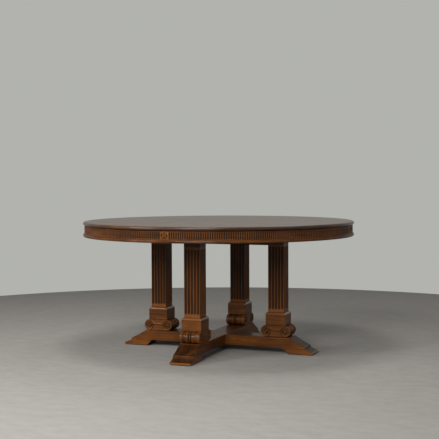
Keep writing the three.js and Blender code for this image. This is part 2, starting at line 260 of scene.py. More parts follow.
def steel(name):
    """Zinc-plated steel, with faint brushing and duller patches."""
    material, tree = new_material(name)
    vector = frame_place(tree, "Z")
    brushed = noise(tree, scaled(tree, vector, (2600.0, 120.0, 120.0)), 2.0)
    patches = noise(tree, scaled(tree, vector, (140.0, 140.0, 140.0)), 3.0)
    bright, dull = (0.58, 0.59, 0.60, 1.0), (0.40, 0.41, 0.42, 1.0)
    colour = mixed(tree, ranged(tree, patches, 0.35, 0.65), bright, dull)
    gloss = ranged(tree, patches, 0.3, 0.7, 0.28, 0.46)
    inputs = {"Base Color": colour, "Roughness": gloss, "Metallic": 1.0}
    finish_material(tree, inputs, brushed, 0.0001, 0.2)
    return material


def felt(name):
    """Dense dark felt with a short nap."""
    material, tree = new_material(name)
    vector = grain_place(tree)
    nap = noise(tree, scaled(tree, vector, (900.0, 900.0, 900.0)), 4.0, 0.7)
    clouds = noise(tree, scaled(tree, vector, (60.0, 60.0, 60.0)), 3.0)
    dark, light = (0.004, 0.0035, 0.003, 1.0), (0.014, 0.012, 0.010, 1.0)
    colour = mixed(tree, ranged(tree, nap, 0.3, 0.7), dark, light)
    colour = mixed(tree, ranged(tree, clouds, 0.3, 0.7, 0.0, 0.4), colour, dark)
    inputs = {
        "Base Color": colour,
        "Roughness": 0.95,
        "Specular IOR Level": 0.2,
        "Sheen Weight": 0.15,
    }
    finish_material(tree, inputs, nap, 0.0006, 0.6)
    return material


def carpet(name):
    """The pale floor: a short, even pile with faint trodden patches."""
    material, tree = new_material(name)
    vector = frame_place(tree, "X")
    pile = noise(tree, scaled(tree, vector, (420.0, 420.0, 420.0)), 2.0, 0.6)
    clouds = noise(tree, scaled(tree, vector, (3.0, 3.0, 3.0)), 3.0)
    pale, paler = (0.365, 0.347, 0.322, 1.0), (0.465, 0.444, 0.413, 1.0)
    trodden = (0.220, 0.208, 0.192, 1.0)
    colour = mixed(tree, ranged(tree, pile, 0.25, 0.75), pale, paler)
    colour = mixed(tree, ranged(tree, clouds, 0.3, 0.7, 0.0, 0.15), colour, pale)
    wear = noise(tree, scaled(tree, vector, (9.0, 16.0, 9.0)), 5.0, 0.75)
    colour = mixed(tree, ranged(tree, wear, 0.35, 0.65, 0.25, 0.0), colour, trodden)
    inputs = {"Base Color": colour, "Roughness": 0.95, "Specular IOR Level": 0.1}
    finish_material(tree, inputs, pile, 0.002, 0.4)
    return material


BASE_WOOD = wood("base_wood", BASE_TONES)
TOP_WOOD = wood("top_wood", TOP_TONES, roughness=0.34, coat=0.35, specular=0.25)
INNER_WOOD_X = wood("inner_wood_x", INNER_TONES, "X", 0.55, 0.0)
INNER_WOOD_Y = wood("inner_wood_y", INNER_TONES, "Y", 0.55, 0.0)
STEEL = steel("steel")
FELT = felt("felt")

# ---------------------------------------------------------------- mesh making


def smoothstep(share):
    """A share from 0 to 1, eased at both ends."""
    share = np.clip(share, 0.0, 1.0)
    return share * share * (3.0 - 2.0 * share)


def dome(share):
    """Height of a round back, 1 in the middle and 0 where the share reaches 1."""
    return np.sqrt(np.maximum(1.0 - share**2, 0.0))


def grid_of(x, y, z):
    """Rows and columns of points from three arrays that broadcast together."""
    return np.stack(np.broadcast_arrays(x, y, z), axis=-1).astype(float)


class Solid:
    """A closed mesh in the making. Its points carry two shades, both from 0 to 1.

    The first is painted shade, with some glaze, that darkens a point; the second is painted
    highlight, with some wear, that lightens it.
    """

    def __init__(self):
        self.points, self.hollow, self.worn, self.faces = [], [], [], []
        self.count = 0

    def grid(self, points, hollow=0.0, worn=0.0, close_rows=False, close_columns=False):
        """Adds a patch of quads over rows and columns of points, and returns their indices."""
        rows, columns = points.shape[:2]
        index = self.count + np.arange(rows * columns).reshape(rows, columns)
        self.points.append(points.reshape(-1, 3))
        self.hollow.append(np.broadcast_to(hollow, (rows, columns)).ravel())
        self.worn.append(np.broadcast_to(worn, (rows, columns)).ravel())
        self.count += rows * columns
        if close_rows:
            index = np.vstack([index, index[:1]])
        if close_columns:
            index = np.hstack([index, index[:, :1]])
        corners = (index[:-1, :-1], index[:-1, 1:], index[1:, 1:], index[1:, :-1])
        self.faces += np.stack(corners, -1).reshape(-1, 4).tolist()
        return index

    def cap(self, loop):
        """Closes an opening with one flat face."""
        self.faces.append([int(i) for i in loop])

    def cap_ends(self, index):
        """Closes the openings at the first and the last row of a patch."""
        self.cap(index[0, :-1])
        self.cap(index[-1, :-1])

    def piece(self, name, grain, material, slot, nodes, turn=0.0):
        """Welds the patches into one mesh, turned about Z, that stands for those CAD nodes."""
        points = np.vstack(self.points)
        offset = np.array([draw.uniform(-9.0, 9.0) for _ in range(3)])
        cosine, sine = math.cos(turn), math.sin(turn)
        placed = points.copy()
        placed[:, 0] = cosine * points[:, 0] - sine * points[:, 1]
        placed[:, 1] = sine * points[:, 0] + cosine * points[:, 1]
        mesh = bpy.data.meshes.new(name)
        mesh.from_pydata(placed.tolist(), [], self.faces)
        place = mesh.attributes.new("grain", "FLOAT_VECTOR", "POINT")
        place.data.foreach_set("vector", (grain(points) + offset).astype(np.float32).ravel())
        for key, values in (("hollow", self.hollow), ("worn", self.worn)):
            attribute = mesh.attributes.new(key, "FLOAT", "POINT")
            attribute.data.foreach_set("value", np.concatenate(values).astype(np.float32))
        welded = bmesh.new()
        welded.from_mesh(mesh)
        bmesh.ops.remove_doubles(welded, verts=welded.verts, dist=WELD)
        bmesh.ops.recalc_face_normals(welded, faces=welded.faces)
        for face in welded.faces:
            face.smooth = True
        welded.to_mesh(mesh)
        welded.free()
        mesh.set_sharp_from_angle(angle=SMOOTH_BELOW)
        mesh.materials.append(material)
        piece = bpy.data.objects.new(name, mesh)
        scene.collection.objects.link(piece)
        weighted = piece.modifiers.new("even_normals", "WEIGHTED_NORMAL")
        weighted.keep_sharp = True
        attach(piece, "root")
        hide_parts(*nodes)


def along_x(points):
    return points


def along_y(points):
    return points[:, [1, 2, 0]]


def along_z(points):
    return points[:, [2, 0, 1]]


def along_arm(name):
    """Grain that runs from left to right on every arm."""
    return along_x if name in ("right", "left") else along_y


def along_ring(points):
    """Grain that follows a ring round the table's axis."""
    radius = np.hypot(points[:, 0], points[:, 1])
    angle = np.arctan2(points[:, 1], points[:, 0])
    return np.stack([angle * radius.mean(), radius, points[:, 2]], axis=1)


def arc(cx, cz, radius, start, end, steps):
    """Points of an arc about cx, cz, in degrees."""
    angles = np.radians(np.linspace(start, end, steps + 1))
    return [(cx + radius * math.cos(a), cz + radius * math.sin(a)) for a in angles]


def ring_sector(profile, start, end, steps):
    """A closed outline of radius and height, swept about Z from one angle to another."""
    solid = Solid()
    radii, heights = np.array(profile).T
    angles = np.linspace(start, end, steps + 1)[:, None]
    points = grid_of(radii * np.cos(angles), radii * np.sin(angles), heights)
    index = solid.grid(points, close_columns=True)
    solid.cap_ends(index)
    return solid


def rounded_rectangle(half_x, half_y, radius, steps=5):
    """Points round a rectangle with round corners, centred on the origin."""
    radius = max(min(radius, half_x, half_y), 1e-5)
    points = []
    for corner, (sx, sy) in enumerate(((1, 1), (-1, 1), (-1, -1), (1, -1))):
        cx, cy = sx * (half_x - radius), sy * (half_y - radius)
        points += arc(cx, cy, radius, 90 * corner, 90 * corner + 90, steps)
    return np.array(points)


def block(levels, cx, hollow=0.0, worn=0.0):
    """Rounded rectangles (half x, half y, corner radius, z) stacked upwards and closed."""
    solid = Solid()
    rings = []
    for half_x, half_y, radius, z in levels:
        outline = rounded_rectangle(half_x, half_y, radius)
        rings.append(grid_of(outline[:, 0] + cx, outline[:, 1], z))
    tints = [np.broadcast_to(tint, len(levels))[:, None] for tint in (hollow, worn)]
    index = solid.grid(np.stack(rings), *tints, close_columns=True)
    solid.cap_ends(index)
    return solid


LONGEST_REACH = 0.48  # share of an edge that the arc at one of its corners may take up
LEAST_SHARE = 0.35  # keeps the inward step short at a sharp corner


def softened(points, steps=6):
    """An outline of (x, z, radius): each corner with a radius becomes an arc."""
    result = []
    for i, (x, z, radius) in enumerate(points):
        here = np.array([x, z])
        if radius <= 0:
            result.append(here)
            continue
        before = np.array(points[i - 1][:2]) - here
        after = np.array(points[(i + 1) % len(points)][:2]) - here
        before_length, after_length = np.linalg.norm(before), np.linalg.norm(after)
        a, b = before / before_length, after / after_length
        half_angle = 0.5 * math.acos(float(np.clip(a @ b, -1.0, 1.0)))
        reach = radius / math.tan(half_angle)
        limit = LONGEST_REACH * min(before_length, after_length)
        if reach > limit:
            reach = limit
            radius = reach * math.tan(half_angle)
        middle = (a + b) / np.linalg.norm(a + b)
        centre = here + middle * (radius / math.sin(half_angle))
        first, last = here + a * reach - centre, here + b * reach - centre
        sweep = math.atan2(first[0] * last[1] - first[1] * last[0], first @ last)
        for s in range(steps + 1):
            angle = sweep * s / steps
            cosine, sine = math.cos(angle), math.sin(angle)
            turned = (first[0] * cosine - first[1] * sine, first[0] * sine + first[1] * cosine)
            result.append(centre + np.array(turned))
    return np.array(result)


def inward_normals(outline):
    """For each corner of a counter-clockwise outline, the step that moves both edges in by one."""
    edge = np.roll(outline, -1, axis=0) - outline
    edge /= np.linalg.norm(edge, axis=1, keepdims=True)
    normal = np.stack([-edge[:, 1], edge[:, 0]], axis=1)
    before = np.roll(normal, 1, axis=0)
    share = 1.0 + np.sum(normal * before, axis=1, keepdims=True)
    return (normal + before) / np.maximum(share, LEAST_SHARE)


FULL_BEND = math.radians(6.0)  # turn at one point of an outline that counts as a nosing


def bends(outline):
    """How far a counter-clockwise outline turns outwards at each corner inside a bend."""
    edge = np.roll(outline, -1, axis=0) - outline
    before = np.roll(edge, 1, axis=0)
    cross = before[:, 0] * edge[:, 1] - before[:, 1] * edge[:, 0]
    turn = np.arctan2(cross, np.sum(before * edge, axis=1))
    return np.minimum(turn, np.minimum(np.roll(turn, 1), np.roll(turn, -1)))


def board(outline, half_width, ease, steps=4):
    """An outline of x and z, extruded along Y, with its long edges rounded over."""
    solid = Solid()
    after = np.roll(outline, -1, axis=0)
    if np.sum(outline[:, 0] * after[:, 1] - outline[:, 1] * after[:, 0]) < 0:
        outline = outline[::-1]
    inwards = inward_normals(outline)
    angles = np.linspace(0.0, 0.5 * math.pi, steps + 1)
    front = [(half_width - ease + ease * math.sin(a), ease * (1.0 - math.cos(a))) for a in angles]
    stations = [(-y, inset) for y, inset in reversed(front)] + front
    rings = []
    for y, inset in stations:
        moved = outline + inwards * inset
        rings.append(grid_of(moved[:, 0], y, moved[:, 1]))
    across = np.array([inset / ease for _, inset in stations])[:, None]
    nosing = np.clip(bends(outline) / FULL_BEND, 0.0, 1.0)[None, :]
    # Painted shade over the faces round the outline and more along the eased edges; painted
    # highlight on the sides a little and fully on the nosings.
    hollow = 0.6 * (1.0 - across) * (1.0 - nosing) + 3.0 * across * (1.0 - across)
    worn = np.maximum(0.2 * across, nosing)
    index = solid.grid(np.stack(rings), hollow, worn, close_columns=True)
    solid.cap_ends(index)
    return solid


def node_radii(name):
    """The least and greatest distance of a CAD node's points from the table's axis."""
    distances = [math.hypot(v.co.x, v.co.y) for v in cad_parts[name].data.vertices]
    return min(distances), max(distances)


# ---------------------------------------------------------------- top

ROUND_STEPS = 256
QUARTER_STEPS = 96
NOSE_STEPS = 20

lipping_low, lipping_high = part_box("lipping_right_back")
lipping_inner, lipping_outer = node_radii("lipping_right_back")
panel_low, panel_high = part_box("top_panel")


def top_panel():
    """The panel inside the lipping, with its edges just broken."""
    solid = Solid()
    radius = node_radii("top_panel")[1]
    profile = [
        (radius - BROKEN_EDGE, panel_low.z),
        (radius, panel_low.z + BROKEN_EDGE),
        (radius, panel_high.z - BROKEN_EDGE),
        (radius - BROKEN_EDGE, panel_high.z),
    ]
    radii, heights = (np.array(side)[:, None] for side in zip(*profile))
    angles = np.linspace(0.0, 2.0 * math.pi, ROUND_STEPS, endpoint=False)
    points = grid_of(radii * np.cos(angles), radii * np.sin(angles), heights)
    index = solid.grid(points, close_columns=True)
    solid.cap_ends(index)
    solid.piece("round_top", along_x, TOP_WOOD, "top_wood", ["top_panel"])


def lippings():
    """The edge of the top: four curved lengths with a full bullnose."""
    low, high = lipping_low.z, lipping_high.z
    nose = (high - low) / 2
    centre = lipping_outer - nose
    profile = [(lipping_inner, low)]
    profile += arc(centre, low + nose, nose, -90, 90, NOSE_STEPS)
    profile += [(lipping_inner + BROKEN_EDGE, high), (lipping_inner, high - BROKEN_EDGE)]
    trim = GAP / 2 / lipping_outer
    for name, turn in QUARTERS.items():
        solid = ring_sector(profile, trim, math.pi / 2 - trim, QUARTER_STEPS)
        nodes = [f"lipping_{name}"]
        solid.piece(f"top_edge_{name}", along_ring, TOP_WOOD, "top_wood", nodes, turn)


# ---------------------------------------------------------------- stopped flutes

# Places across a flute, as shares of its half width, and down its round ends.
ACROSS = np.array([-1.0, -0.92, -0.72, -0.4, 0.0, 0.4, 0.72, 0.92, 1.0])
END_STEPS = np.array([1.0, 0.92, 0.72, 0.4, 0.0])


def flute_columns(count, pitch, land, start):
    """For a strip of flutes: places across, their shares of the half width, and that width."""
    half = (pitch - land) / 2
    places, shares = [], []
    for i in range(count):
        centre = start + (i + 0.5) * pitch
        places.append(centre + half * ACROSS)
        shares.append(ACROSS)
    return np.concatenate(places), np.concatenate(shares), half


def flute_rows(shares, half, depth, low, high):
    """Heights and depths, rows by columns, of flutes whose round ends reach low and high."""
    rise = half * dome(shares)
    curve = (half**2 + depth**2) / (2.0 * depth)
    heights, depths = [], []
    for centre, sign, ends in ((low + half, -1.0, END_STEPS), (high - half, 1.0, END_STEPS[::-1])):
        for step in ends:
            distance = np.hypot(half * shares, step * rise)
            inside = np.sqrt(np.maximum(curve**2 - distance**2, 0.0)) - (curve - depth)
            heights.append(centre + sign * step * rise)
            depths.append(np.where(np.abs(shares) < 1.0, np.maximum(inside, 0.0), 0.0))
    return np.array(heights), np.array(depths)


# ---------------------------------------------------------------- apron, rosettes and bead

APRON_FLUTES = 99
APRON_LAND = 3.0 * MM
APRON_FLUTE_DEPTH = 3.2 * MM
APRON_STOP = 1.8 * MM  # plain margin above and below the flutes
QUIRK_HEIGHT = 4.0 * MM  # the sunk line under the top
QUIRK_DEPTH = 5.0 * MM

apron_low, apron_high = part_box("apron_right_back")
apron_inner, apron_outer = node_radii("apron_right_back")
apron_margin = apron_low.y  # the apron ends this far from the arm's axis


def aprons():
    """Four curved lengths with stopped flutes all along them."""
    first = math.asin(apron_margin / apron_outer)
    last = math.pi / 2 - first
    length = (last - first) * apron_outer
    pitch = length / APRON_FLUTES
    places, shares, half = flute_columns(APRON_FLUTES, pitch, APRON_LAND, 0.0)
    places = np.concatenate([[0.0], places, [length]])
    shares = np.concatenate([[1.0], shares, [1.0]])
    band_top = apron_high.z - QUIRK_HEIGHT
    low, high = apron_low.z + APRON_STOP, band_top - APRON_STOP
    heights, depths = flute_rows(shares, half, APRON_FLUTE_DEPTH, low, high)
    angles = first + places / apron_outer
    flat = np.ones_like(places)
    rows = [
        (apron_inner * flat, apron_low.z * flat),
        ((apron_outer - BROKEN_EDGE) * flat, apron_low.z * flat),
        (apron_outer * flat, (apron_low.z + BROKEN_EDGE) * flat),
        *((apron_outer - d, h) for h, d in zip(heights, depths)),
        (apron_outer * flat, (band_top - BROKEN_EDGE) * flat),
        ((apron_outer - BROKEN_EDGE) * flat, band_top * flat),
        ((apron_outer - QUIRK_DEPTH) * flat, band_top * flat),
        ((apron_outer - QUIRK_DEPTH) * flat, apron_high.z * flat),
        (apron_inner * flat, apron_high.z * flat),
    ]
    radii, levels = (np.array(side) for side in zip(*rows))
    # Painted shade in the flutes, by their depth, and in the quirk under the top.
    hollow = np.zeros_like(radii)
    hollow[3:-5] = depths / APRON_FLUTE_DEPTH
    hollow[-3:-1] = 1.0
    # Painted highlight on the lands between the flutes.
    worn = np.zeros_like(radii)
    worn[3:-5] = 0.5 * np.clip(1.0 - 2.5 * hollow[3:-5], 0.0, 1.0)
    for name, turn in QUARTERS.items():
        solid = Solid()
        points = grid_of(radii * np.cos(angles), radii * np.sin(angles), levels)
        index = solid.grid(points, hollow, worn, close_rows=True)
        solid.cap(index[:-1, 0])
        solid.cap(index[:-1, -1])
        nodes = [f"apron_{name}"]
        solid.piece(f"fluted_apron_{name}", along_ring, BASE_WOOD, "base_wood", nodes, turn)


FILLET_HEIGHT = 2.0 * MM
FILLET_STEP = 4.5 * MM  # the fillet stands back from the bead by this
BEAD_END = 62  # degrees above level, where the half-round meets the fillet
BEAD_STEPS = 18

bead_low, bead_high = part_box("bead_right_back")
bead_inner, bead_outer = node_radii("bead_right_back")


def beads():
    """The moulding under the apron: a half-round with a small fillet on top."""
    nose = (bead_high.z - bead_low.z - FILLET_HEIGHT) / 2
    fillet = bead_outer - FILLET_STEP
    fillet_low = bead_high.z - FILLET_HEIGHT
    profile = [(bead_inner, bead_low.z)]
    profile += arc(bead_outer - nose, bead_low.z + nose, nose, -90, BEAD_END, BEAD_STEPS)
    profile += [
        (fillet, fillet_low),
        (fillet, bead_high.z - BROKEN_EDGE),
        (fillet - BROKEN_EDGE, bead_high.z),
        (bead_inner, bead_high.z),
    ]
    trim = GAP / 2 / bead_outer
    for name, turn in QUARTERS.items():
        solid = ring_sector(profile, trim, math.pi / 2 - trim, QUARTER_STEPS)
        nodes = [f"bead_{name}"]
        solid.piece(f"bead_moulding_{name}", along_ring, BASE_WOOD, "base_wood", nodes, turn)


ROSETTE_STEPS = 64
ROSETTE_CROWDING = 0.82  # how far the points crowd towards the edges of the block, up to 1
ROSETTE_EASE = 1.0 * MM
ROSETTE_RADIUS = 19.0 * MM
ROSETTE_SINK = 3.6 * MM  # depth of the ground round the flower
RING_HALF = 1.6 * MM
RING_HEIGHT = 1.3 * MM
RING_BLEND = 1.2 * MM
PETALS = 4
PETAL_ROOT = 3.0 * MM
PETAL_MARGIN = 2.5 * MM  # from the tips of the petals to the ring
PETAL_HEIGHT = 6.5 * MM
SWIRL = 1.5  # turn of a petal from root to tip, in radians
BUTTON_RADIUS = 4.6 * MM
BUTTON_HEIGHT = 5.5 * MM
FULL_HIGHLIGHT_HEIGHT = 0.8 * MM  # over the face of the block, above which the flower carries the full painted highlight

rosette_low, rosette_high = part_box("rosette_block_right")


def rosette_relief(y, z):
    """Height of the carved flower over the face of its block."""
    radius = np.hypot(y, z)
    angle = np.arctan2(z, y) + SWIRL * radius / ROSETTE_RADIUS
    ring = RING_HEIGHT * dome((radius - ROSETTE_RADIUS) / RING_HALF)
    inside = smoothstep((ROSETTE_RADIUS - 0.5 * RING_BLEND - radius) / RING_BLEND)
    length = ROSETTE_RADIUS - PETAL_MARGIN - PETAL_ROOT
    reach = np.clip((radius - PETAL_ROOT) / length, 0.0, 1.0)
    lobe = np.abs(np.cos(0.5 * PETALS * angle))
    petal = PETAL_HEIGHT * np.sin(math.pi * reach**0.8) ** 0.6 * lobe**1.1
    button = BUTTON_HEIGHT * dome(radius / BUTTON_RADIUS)
    return ring + inside * (np.maximum(petal, button) - ROSETTE_SINK)


def around(values):
    """The values on the border of a grid, once round."""
    return np.concatenate([values[0, :-1], values[:-1, -1], values[-1, :0:-1], values[:0:-1, 0]])


def rosettes():
    """Square blocks between the aprons, each carved with a round flower."""
    half_y = rosette_high.y
    low, high = rosette_low.z, rosette_high.z - QUIRK_HEIGHT
    middle, half_z = (low + high) / 2, (high - low) / 2
    swing = 0.5 * math.pi * ROSETTE_CROWDING
    shares = np.sin(np.linspace(-swing, swing, ROSETTE_STEPS + 1)) / math.sin(swing)
    y, z = np.broadcast_arrays(half_y * shares[None, :], half_z * shares[:, None])
    rim = np.minimum(half_y - np.abs(y), half_z - np.abs(z))
    drop = ROSETTE_EASE * (1.0 - dome(np.maximum(1.0 - rim / ROSETTE_EASE, 0.0)))
    relief = rosette_relief(y, z)
    face = rosette_high.x + relief - drop
    # Painted shade on the sunk ground; the whole block lighter, and painted highlight on the
    # raised flower.
    hollow = np.clip(-relief / (0.7 * ROSETTE_SINK), 0.0, 1.0)
    worn = 0.45 + 0.55 * np.clip(relief / FULL_HIGHLIGHT_HEIGHT, 0.0, 1.0)
    border = [around(side) for side in (face, y, z + middle)]
    for name, turn in ARMS.items():
        solid = Solid()
        solid.grid(grid_of(face, y, z + middle), hollow, worn)
        rear = grid_of(rosette_low.x, border[1], border[2])
        side = solid.grid(np.stack([grid_of(*border), rear]), close_columns=True)
        solid.cap(side[1, :-1])
        nodes = [f"rosette_block_{name}"]
        solid.piece(f"rosette_{name}", along_y, BASE_WOOD, "base_wood", nodes, turn)


# ---------------------------------------------------------------- columns

COLUMN_FLUTES = 5
COLUMN_LAND = 2.6 * MM
COLUMN_FLUTE_DEPTH = 5.5 * MM
CORNER_LAND = 1.2 * MM
CORNER_EASE = 1.2 * MM
CORNER_STEPS = 3
FLUTE_STOP = 16.0 * MM  # plain band under the flutes
RAIL_GAP = 2.0 * MM  # from the top of the flutes to the long rail
TOP_SHADE = 0.85  # painted shade on the column under the top, where the top's shadow falls

column_low, column_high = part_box("column_right")
rail_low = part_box("rail_long")[0]
column_centre = (column_low.x + column_high.x) / 2
column_half = (column_high.x - column_low.x) / 2


def column_rows():
    """One face of a column: places across, heights, insets and painted shade, rows by columns."""
    pitch = 2 * (column_half - CORNER_LAND) / COLUMN_FLUTES
    start = -column_half + CORNER_LAND
    places, shares, half = flute_columns(COLUMN_FLUTES, pitch, COLUMN_LAND, start)
    low, high = column_low.z + FLUTE_STOP, rail_low.z - RAIL_GAP
    heights, depths = flute_rows(shares, half, COLUMN_FLUTE_DEPTH, low, high)
    plain = np.zeros((1, len(places)))
    ease = BROKEN_EDGE
    levels = np.vstack(
        [
            plain + column_low.z,
            plain + column_low.z + ease,
            heights,
            plain + heights.max() + FLUTE_STOP,
            plain + column_high.z - ease,
            plain + column_high.z,
        ]
    )
    insets = np.vstack([plain + ease, plain, depths, plain, plain, plain + ease])
    # Painted shade in the flutes by their depth, and over the plain top under the table top.
    flute_shade = np.clip((depths / COLUMN_FLUTE_DEPTH - 0.2) / 0.8, 0.0, 1.0)
    shade = plain + TOP_SHADE
    return places, levels, insets, np.vstack([plain, plain, flute_shade, shade, shade, shade])


def columns():
    """Square shafts with stopped flutes on each face and eased corners."""
    places, levels, insets, hollows = column_rows()
    middle = column_half - CORNER_EASE
    corner_angles = np.radians(np.linspace(0.0, 90.0, CORNER_STEPS + 1))
    x, y, z, hollow = [], [], [], []
    for face in range(4):
        turn = face * math.pi / 2
        out = column_half - insets
        x.append(out * math.cos(turn) - places * math.sin(turn))
        y.append(out * math.sin(turn) + places * math.cos(turn))
        z.append(levels)
        hollow.append(hollows)
        radius = CORNER_EASE - insets[:, :1]
        corner_x = middle + radius * np.cos(corner_angles)
        corner_y = middle + radius * np.sin(corner_angles)
        x.append(corner_x * math.cos(turn) - corner_y * math.sin(turn))
        y.append(corner_x * math.sin(turn) + corner_y * math.cos(turn))
        z.append(np.broadcast_to(levels[:, :1], corner_x.shape))
        hollow.append(np.broadcast_to(hollows[:, :1], corner_x.shape))
    x, y, z, hollow = (np.hstack(side) for side in (x, y, z, hollow))
    for name, turn in ARMS.items():
        solid = Solid()
        points = grid_of(x + column_centre, y, z)
        # Painted highlight on the faces and lands, least where the painted shade lies.
        index = solid.grid(points, hollow, 0.85 * (1.0 - hollow) ** 2, close_columns=True)
        solid.cap_ends(index)
        nodes = [f"column_{name}"]
        solid.piece(f"fluted_column_{name}", along_z, BASE_WOOD, "base_wood", nodes, turn)


# ---------------------------------------------------------------- plinths

PLINTH_EASE = 2.2 * MM  # radius of the upright edges
PLINTH_FOOT = 0.8 * MM  # bevel round the bottom
SHADE_LINE_REACH = 3.2 * MM  # height of the painted shade line above the scroll, at the plinth's foot
SHOULDER_HEIGHT = 13.0 * MM
SHOULDER_LEDGE = 2.0 * MM
SHOULDER_STEPS = 10

plinth_low, plinth_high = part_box("plinth_right")
plinth_half = (plinth_high.x - plinth_low.x) / 2


def plinths():
    """Square blocks whose top edges are rounded over up to the foot of the column."""
    shoulder = plinth_half - column_half - SHOULDER_LEDGE
    knee = 0.3 * PLINTH_FOOT
    rings = [
        (plinth_half - PLINTH_FOOT, plinth_low.z),
        (plinth_half - knee, plinth_low.z + knee),
        (plinth_half, plinth_low.z + PLINTH_FOOT),
        (plinth_half, plinth_low.z + SHADE_LINE_REACH),
    ]
    for step in range(SHOULDER_STEPS + 1):
        angle = 0.5 * math.pi * step / SHOULDER_STEPS
        out = plinth_half - shoulder * (1.0 - math.cos(angle))
        rings.append((out, plinth_high.z - SHOULDER_HEIGHT * (1.0 - math.sin(angle))))
    levels = [(half, half, PLINTH_EASE, z) for half, z in rings]
    # Painted shade along the foot over the scroll and on the ledge at the column's foot; painted
    # highlight on the rounded shoulder.
    hollow = [1.0, 1.0, 0.6] + [0.0] * SHOULDER_STEPS + [0.5, 1.0]
    worn = [0.0] * 2 + [0.2] * 3 + [1.0] * (SHOULDER_STEPS - 2) + [0.0] * 2
    for name, turn in ARMS.items():
        solid = block(levels, column_centre, hollow, worn)
        grain, nodes = along_arm(name), [f"plinth_{name}"]
        solid.piece(f"shouldered_plinth_{name}", grain, BASE_WOOD, "base_wood", nodes, turn)


# ---------------------------------------------------------------- scroll bolsters

scroll_low, scroll_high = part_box("scroll_right")
roll_radius = (scroll_high.z - scroll_low.z) / 2
roll_level = (scroll_high.z + scroll_low.z) / 2
roll_reach = (scroll_high.x - scroll_low.x) / 2 - roll_radius  # roll axis from the column axis
scroll_half_width = scroll_high.y

FACE_INSET = 0.6 * MM  # the face's outline lies this far inside the roll's
FACE_RELIEF = 5.0 * MM  # height of the raised bands over the face's outline
BAND_ROUNDING = 3.0 * MM
GROOVE_HALF = 1.0 * MM
GROOVE_LEVEL = 1.5 * MM  # of the groove between the volutes, over the roll's axis
GROOVE_START = 25.0 * MM  # radius at which the groove enters the volute
EYE_RADIUS = 8.4 * MM
TURNS = 1.5
PANEL_LEVEL = 3.2 * MM
CHANNEL_DEPTH = 1.4 * MM  # of the dip along the middle of a wide band
CHANNEL_START = 6.0 * MM  # from the edge of the band to the dip
CHANNEL_SLOPE = 4.0 * MM
WAIST_BLEND = 6.0 * MM  # over which the belt fades out, inwards from the roll's axis

FACE_ROWS = 73
STRAIGHT_STEPS = 56
ROUND_END_STEPS = 40
BELT_ROWS = 101
BELT_SAMPLES = 400
BELT_ROUNDING = 6  # samples on each side over which the belt's profile is rounded

# Half the roll's profile along its axis: millimetres from the middle, and radius as a share.
BELT = [
    (0.0, 0.960),
    (2.8, 0.950),
    (4.4, 0.890),
    (5.6, 0.800),
    (7.2, 0.800),
    (8.6, 0.890),
    (11.5, 0.950),
    (17.0, 0.975),
    (23.0, 0.945),
    (28.0, 0.895),
    (33.5, 0.870),
    (39.0, 0.890),
    (41.4, 0.870),
    (43.0, 0.950),
    (46.5, 0.990),
    (50.5, 1.000),
    (54.0, 0.992),
]


def belt_radius(y):
    """Radius of the roll at a distance from its middle, with the profile's corners rounded."""
    places = np.array([place * MM for place, _ in BELT] + [scroll_half_width - FACE_RELIEF])
    radii = np.array([share * roll_radius for _, share in BELT] + [roll_radius - FACE_INSET])
    fine = np.linspace(0.0, places[-1], BELT_SAMPLES)
    rough = np.interp(fine, places, radii)
    kernel = np.hanning(2 * BELT_ROUNDING + 1)
    kernel /= kernel.sum()
    mirrored, level = rough[BELT_ROUNDING:0:-1], np.full(BELT_ROUNDING, rough[-1])
    padded = np.concatenate([mirrored, rough, level])
    return np.interp(np.abs(y), fine, np.convolve(padded, kernel, mode="valid"))


def spiral(angle):
    """Radius of the volute's groove, which winds in from the outer band to the eye."""
    share = np.clip(angle / (2.0 * math.pi * TURNS), 0.0, 1.0)
    return GROOVE_START - (GROOVE_START - EYE_RADIUS - GROOVE_HALF) * share


def rounded_over(distance):
    """Height of a raised band at a distance in from its edge."""
    share = np.clip(distance / BAND_ROUNDING, 0.0, 1.0)
    return FACE_RELIEF * dome(1.0 - share)


def scroll_relief(x, z):
    """Height of the carved face over its outline, and its painted shade, at x from the middle."""
    face_radius = roll_radius - FACE_INSET
    towards = roll_reach - x
    radius = np.hypot(towards, z)
    angle = np.arctan2(z, towards) % (2.0 * math.pi)
    first, second = spiral(angle), spiral(angle + 2.0 * math.pi)
    between = x < roll_reach
    edge = np.where(between, face_radius - np.abs(z), face_radius - radius)

    # The outer band narrows to nothing where it comes round under the volute.
    swing = smoothstep((angle / math.pi - 1.5) / 0.5)
    outline = face_radius + (GROOVE_START - face_radius) * swing
    under = between & (angle > 1.5 * math.pi)
    rim = np.where(under, outline, GROOVE_START)
    panel = between & (z < GROOVE_LEVEL) & (radius > rim)

    groove = np.abs(radius - first)
    beside = x < roll_reach - GROOVE_START
    groove = np.where(beside, np.minimum(groove, np.abs(z - GROOVE_LEVEL)), groove)
    groove = np.where(radius < first, np.minimum(first - radius, np.abs(radius - second)), groove)
    groove = np.where(radius < second, np.minimum(second - radius, radius - EYE_RADIUS), groove)
    outer = np.where(under & ~panel & (radius > first), outline - radius, edge)
    height = np.minimum(rounded_over(outer), rounded_over(groove - GROOVE_HALF))
    channel = smoothstep((np.minimum(groove, edge) - CHANNEL_START) / CHANNEL_SLOPE)
    height = height - CHANNEL_DEPTH * channel
    eye = FACE_RELIEF * dome(radius / EYE_RADIUS)
    height = np.where(radius < EYE_RADIUS, eye, height)

    inside = np.minimum(GROOVE_LEVEL - z, radius - rim) - GROOVE_HALF
    sunk = np.minimum(rounded_over(inside), rounded_over(edge)) * PANEL_LEVEL / FACE_RELIEF
    height = np.where(panel, sunk, height)
    full = np.where(panel, PANEL_LEVEL, FACE_RELIEF)
    return height, 1.0 - np.clip(height / (0.55 * full), 0.0, 1.0)


def there_and_back(half):
    """Values from the middle outwards, mirrored to run from one end to the other."""
    return np.concatenate([half[:0:-1], half])


def once_round(upper, lower):
    """Columns along the upper side, and then back along the lower side without its ends."""
    return np.hstack([upper, lower[:, -2:0:-1]])


